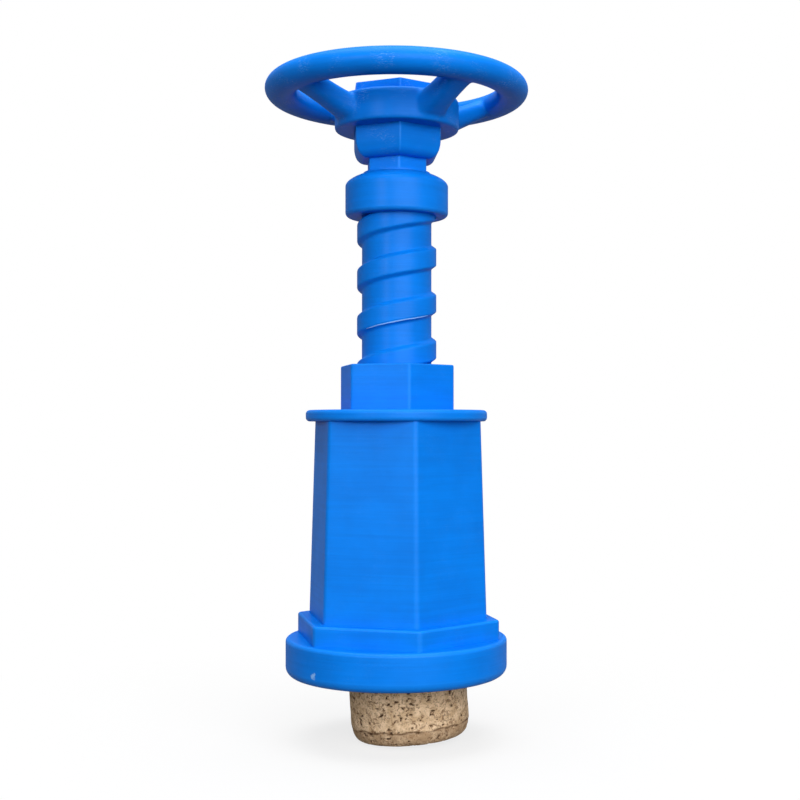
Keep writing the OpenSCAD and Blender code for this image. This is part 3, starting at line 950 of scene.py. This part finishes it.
class VALVE_OT_hexagon_shell(bpy.types.Operator):
    """Build the tapered hexagonal housing and the wider hexagonal foot"""

    bl_idname = "valve_corkscrew.hexagon_shell"
    bl_label = "Housing and foot"

    def execute(self, context):
        sizes = sizes_of(context, "housing")
        hole = sizes.spigot + sizes_of(context, "spindle").slip
        chamber = sizes.chamber
        socket = sizes.socket

        bottom = low("housing")
        top = high("housing")
        ceiling = top - sizes.ceiling
        low_flat = sizes.low_flats / 2
        top_flat = sizes.top_flats / 2
        levels = 10
        side = []
        for level in range(levels + 1):
            share = level / levels
            side.append((low_flat + share * (top_flat - low_flat), bottom + share * (top - bottom)))
        bm = bmesh.new()
        lathe(bm, [(chamber, bottom), *side, (hole, top), (hole, ceiling), (chamber, ceiling)])
        draw_to_hexagon(bm, lambda vert: radius_of(vert) > chamber + 1)
        spin_by(bm, sizes.corner)
        round_over(bm, sharp_edges(bm, is_upright), sizes.edge_round, 5, painted_highlight=0.3)
        place(context, bm, "hexagon_housing", "housing", "blue_plastic", "housing")

        bottom = low("foot")
        top = high("foot")
        ledge = top - sizes.ledge
        flat = sizes.foot_flats / 2

        def on_top_edge(edge):
            return edge.verts[0].co.z > top - NEAR and radius_of(edge.verts[0]) > flat - 1

        bm = bmesh.new()
        lathe(bm, [
            (socket, bottom), (flat, bottom), (flat, top), (chamber, top), (chamber, ledge), (socket, ledge),
        ])
        draw_to_hexagon(bm, lambda vert: radius_of(vert) > flat - NEAR)
        spin_by(bm, sizes.corner)
        round_over(bm, sharp_edges(bm, is_upright), sizes.foot_round, 5, painted_highlight=0.3)
        round_over(bm, sharp_edges(bm, on_top_edge), sizes.foot_top_round)
        place(context, bm, "hexagon_foot", "housing", "blue_plastic", "foot")
        return {"FINISHED"}


class VALVE_OT_worm(bpy.types.Operator):
    """Build the steel worm, the pin that holds it and the retaining ring"""

    bl_idname = "valve_corkscrew.worm"
    bl_label = "Worm, pin and ring"

    def execute(self, context):
        sizes = sizes_of(context, "spindle")
        wire = sizes.wire
        shank = sizes.shank
        start = low("spindle")
        # Turns over which the wire swings out from the axis, and over which it thins to its point
        runout = 0.5
        point = 0.75
        tip = 0.15
        turn_steps = 40
        turns = (start - low("worm")) / sizes.pitch
        taper_top = start + 1.2
        taper_low = start + 0.6
        path = [((0, 0, high("worm")), shank), ((0, 0, taper_top), shank), ((0, 0, taper_low), wire)]
        count = int(turns * turn_steps)
        for index in range(count + 1):
            now = turns * index / count
            swing = sizes.coil
            if now < runout:
                swing *= (1 - math.cos(math.pi * now / runout)) / 2
            left = min(1.0, (turns - now) / point)
            thick = tip + (wire - tip) * math.sin(math.pi / 2 * left)
            angle = -FULL_TURN * now
            spot = (swing * math.cos(angle), swing * math.sin(angle), start - now * sizes.pitch)
            path.append((spot, thick))
        place(context, drawn_tube("worm_path", path), "steel_worm", "spindle", "steel", "worm")

        bm = pin_rod()
        round_over(bm, sharp_edges(bm), sizes.pin_round, 3)
        place(context, bm, "cross_pin", "spindle", "steel", "worm_pin")

        bottom = low("retaining_ring")
        top = high("retaining_ring")
        outer = reach("retaining_ring")
        inner = sizes.land - sizes.groove + sizes.slip
        gap = 2 * math.asin(sizes.ring_gap / (inner + outer))
        ring_steps = 72
        bm = bmesh.new()
        section = ((inner, bottom), (outer, bottom), (outer, top), (inner, top))
        face = bm.faces.new([bm.verts.new((radius, 0, height)) for radius, height in section])
        bmesh.ops.spin(bm, geom=[face], cent=CENTRE, axis=AXIS, angle=FULL_TURN - gap, steps=ring_steps)
        tidy(bm)
        spin_by(bm, gap / 2 - math.pi / 2)
        round_over(bm, sharp_edges(bm), sizes.ring_round, 3)
        place(context, bm, "snap_ring", "spindle", "steel", "retaining_ring")
        return {"FINISHED"}


def cork_pit(point):
    """Depth of the cork's pits at a point in millimetres, from 0 to 1."""
    bend = Vector([noise.noise(point * 0.55 + shift) for shift in PIT_SHIFTS]) * 0.9
    spread = Vector((point.x * 0.72, point.y * 0.72, point.z * 1.05)) + bend
    near = noise.voronoi(spread)[0][0]
    patch = noise.noise(point * 0.33 + Vector((7.1, 3.3, 5.2)))
    hole = max(0.0, 1 - near / (0.36 + 0.20 * patch))
    layer = noise.noise(Vector((point.x * 0.30, point.y * 0.30, point.z * 0.95)))
    slit = max(0.0, 1 - abs(layer) / 0.035)
    broken = max(0.0, noise.noise(point * 0.8 + Vector((1.7, 9.2, 4.4))) - 0.12) * 3
    return min(1.0, hole + min(1.0, slit * broken))


class VALVE_OT_cork(bpy.types.Operator):
    """Build the drawn cork with its pitted side, bevelled ends and the worm's channel"""

    bl_idname = "valve_corkscrew.cork"
    bl_label = "Cork"

    def execute(self, context):
        sizes = sizes_of(context, "cork")
        radius = sizes.radius
        height = sizes.body_length
        bevel = sizes.bevel_height
        channel = sizes.channel
        flat = radius - sizes.bevel_width
        arc_steps = 12
        side_cuts = 140
        end_cuts = 30
        tip_room = 1
        # The dark line round each end, the tone beyond it, and how uneven the skin is
        line_width = 0.4
        line_wander = 0.45
        bevel_tone = 0.5
        bevel_set_in = 0.12
        unevenness = 0.06
        top = height * math.cos(sizes.lean) + flat * math.sin(sizes.lean)
        channel_end = low("worm") - tip_room - top

        bm = bmesh.new()
        arc = []
        for step in range(arc_steps + 1):
            angle = math.pi / 2 * step / arc_steps
            arc.append((radius - sizes.bevel_width * (1 - math.sin(angle)), bevel * (1 - math.cos(angle))))
        low_end = [(out, up - height) for out, up in arc]
        top_end = [(out, -up) for out, up in reversed(arc)]
        lathe(bm, [
            (0, -height), *low_end, *top_end, (channel, 0), (channel, channel_end), (0, channel_end),
        ], FINE_STEPS)
        outer = [edge for edge in bm.edges if is_upright(edge) and lowest_radius(edge) > radius - NEAR]
        bmesh.ops.subdivide_edges(bm, edges=outer, cuts=side_cuts, use_grid_fill=True)
        spans = [edge for edge in bm.edges if lowest_radius(edge) < NEAR and lowest(edge) < NEAR - height]
        bmesh.ops.subdivide_edges(bm, edges=spans, cuts=end_cuts, use_grid_fill=True)

        pit = bm.verts.layers.float.new("pit")
        end_bevel = bm.verts.layers.float.new("end_bevel")
        bm.normal_update()
        skin = [vert for vert in bm.verts if radius_of(vert) > channel + NEAR or vert.co.z < 1 - height]
        inward = [-vert.normal for vert in skin]
        for vert, direction in zip(skin, inward):
            share = cork_pit(vert.co)
            from_end = min(vert.co.z + height, -vert.co.z)
            wave = line_wander * noise.noise(Vector((vert.co.x * 0.35, vert.co.y * 0.35, 0.5)))
            above_line = from_end - bevel - wave
            near_line = max(0.0, 1 - abs(above_line) / line_width)
            on_bevel = bevel_tone if above_line < 0 and radius_of(vert) > flat - NEAR else 0.0
            swell = unevenness * noise.noise(vert.co * 0.5) + (bevel_set_in if on_bevel else 0.0)
            vert[pit] = share
            vert[end_bevel] = max(near_line, on_bevel)
            vert.co += direction * (sizes.pit_depth * share + unevenness + swell)
        for vert in bm.verts:
            if radius_of(vert) < channel + NEAR and channel_end - NEAR < vert.co.z < NEAR:
                vert.co.x += vert.co.z * math.tan(sizes.lean)
        bmesh.ops.rotate(bm, cent=CENTRE, matrix=Matrix.Rotation(-sizes.lean, 3, "Y"), verts=bm.verts)
        bmesh.ops.translate(bm, vec=(0, 0, top), verts=bm.verts)
        place(context, bm, "drawn_cork", "cork", "cork", "cork")
        return {"FINISHED"}


# Stage


def studio_light(name, place_at, aim, size, power):
    """A square area light that faces a point."""
    data = bpy.data.lights.new(name, "AREA")
    data.shape = "SQUARE"
    data.size = size
    data.energy = power
    lamp = bpy.data.objects.new(name, data)
    lamp.location = place_at
    lamp.rotation_mode = "QUATERNION"
    lamp.rotation_quaternion = (Vector(aim) - Vector(place_at)).to_track_quat("-Z", "Y")
    bpy.context.scene.collection.objects.link(lamp)


def seen_directly(tree):
    """1 for camera, glossy and transmission rays, otherwise 0."""
    path = tree.nodes.new("ShaderNodeLightPath").outputs
    shown = calc(tree, "MAXIMUM", path["Is Camera Ray"], path["Is Glossy Ray"])
    return calc(tree, "MAXIMUM", shown, path["Is Transmission Ray"])


def floor_paper(colours):
    """Pale floor that keeps the shadow near the object and runs out into white."""
    material = bpy.data.materials.new("Pale floor")
    material.use_nodes = True
    tree = material.node_tree
    tree.nodes.clear()
    where = tree.nodes.new("ShaderNodeTexCoord").outputs["Object"]
    fibre = remap(tree, grain(tree, where, 240.0, 4.0, 0.6), 0.3, 0.7, 0.97, 1.0)
    seen = seen_directly(tree)
    little_bounce = rgba((0.07, 0.07, 0.07))
    grey_fibre = rgba((0.5, 0.5, 0.5))
    shade = mixed(tree, fibre, grey_fibre, mixed(tree, seen, little_bounce, rgba(colours.paper)))
    paper = add(tree, "ShaderNodeBsdfDiffuse", {"Color": shade}).outputs[0]
    white = add(tree, "ShaderNodeEmission", {"Strength": 1.0}).outputs[0]
    away = add(tree, "ShaderNodeVectorMath", {0: where}, operation="LENGTH").outputs["Value"]
    inner = 0.02
    outer = 0.12
    fade = calc(tree, "MULTIPLY", seen, remap(tree, away, inner, outer, 0.78, 1.0))
    mix = add(tree, "ShaderNodeMixShader", {0: fade, 1: paper, 2: white}).outputs[0]
    add(tree, "ShaderNodeOutputMaterial", {"Surface": mix})
    return material


class VALVE_OT_stage(bpy.types.Operator):
    """Set the floor, the soft lights, the white surroundings and the camera"""

    bl_idname = "valve_corkscrew.stage"
    bl_label = "Stage"

    def execute(self, context):
        scene = context.scene
        bm = bmesh.new()
        bmesh.ops.create_circle(bm, cap_ends=True, segments=96, radius=4.0)
        floor = bpy.data.objects.new("pale_floor", to_mesh(bm, "pale_floor"))
        floor.data.materials.append(floor_paper(scene.valve_corkscrew.colours))
        scene.collection.objects.link(floor)
        # The floor stays under the cork, so that a lowered cork isn't hidden by it.
        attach(floor, "cork")

        studio_light("front_light", (0.30, -0.83, 0.32), aim=(0, 0, 0.07), size=0.9, power=10.9)
        studio_light("left_light", (-0.47, -0.73, 0.26), aim=(0, 0, 0.10), size=0.22, power=1.7)
        studio_light("top_light", (0.0, 0.0, 1.0), aim=(0, 0, 0.07), size=0.9, power=11.0)

        world = bpy.data.worlds.new("Surroundings")
        world.use_nodes = True
        tree = world.node_tree
        fill = 0.21
        strength = remap(tree, seen_directly(tree), 0.0, 1.0, fill, 1.0)
        tree.nodes["Background"].inputs["Color"].default_value = rgba((1, 1, 1))
        tree.links.new(strength, tree.nodes["Background"].inputs["Strength"])
        scene.world = world

        camera = bpy.data.objects.new("photo_camera", bpy.data.cameras.new("photo_camera"))
        camera.data.sensor_width = 36
        camera.data.lens = 59.5
        camera.data.shift_x = -0.0535
        camera.data.clip_start = 0.01
        camera.location = (0, -0.270, 0.0635)
        camera.rotation_euler = (math.radians(91.1), 0, math.radians(-2.0))
        scene.collection.objects.link(camera)
        scene.camera = camera
        scene.view_settings.view_transform = "Standard"
        return {"FINISHED"}


# Panel and registration


class VALVE_PT_panel(bpy.types.Panel):
    """Buttons that build the corkscrew"""

    bl_idname = "VALVE_PT_panel"
    bl_label = "Valve corkscrew"
    bl_space_type = "VIEW_3D"
    bl_region_type = "UI"
    bl_category = "Valve corkscrew"

    def draw(self, context):
        for operator in OPERATORS:
            self.layout.operator(operator.bl_idname)


SETTINGS = (WheelSizes, SpindleSizes, HousingSizes, CorkSizes, FinishColours, ValveCorkscrew)
OPERATORS = (
    VALVE_OT_stage,
    VALVE_OT_handwheel,
    VALVE_OT_wheel_nuts,
    VALVE_OT_stop_collar,
    VALVE_OT_spindle,
    VALVE_OT_bonnet_nut,
    VALVE_OT_round_plates,
    VALVE_OT_hexagon_shell,
    VALVE_OT_worm,
    VALVE_OT_cork,
)
CLASSES = (*SETTINGS, *OPERATORS, VALVE_PT_panel)


def register():
    """Add the settings, the operators and the panel."""
    for item in CLASSES:
        bpy.utils.register_class(item)
    bpy.types.Scene.valve_corkscrew = PointerProperty(type=ValveCorkscrew)


def unregister():
    """Take the settings, the operators and the panel away again."""
    del bpy.types.Scene.valve_corkscrew
    for item in reversed(CLASSES):
        bpy.utils.unregister_class(item)


def main():
    """Build everything."""
    register()
    for operator in OPERATORS:
        group, name = operator.bl_idname.split(".")
        getattr(getattr(bpy.ops, group), name)()


if __name__ == "__main__":
    main()
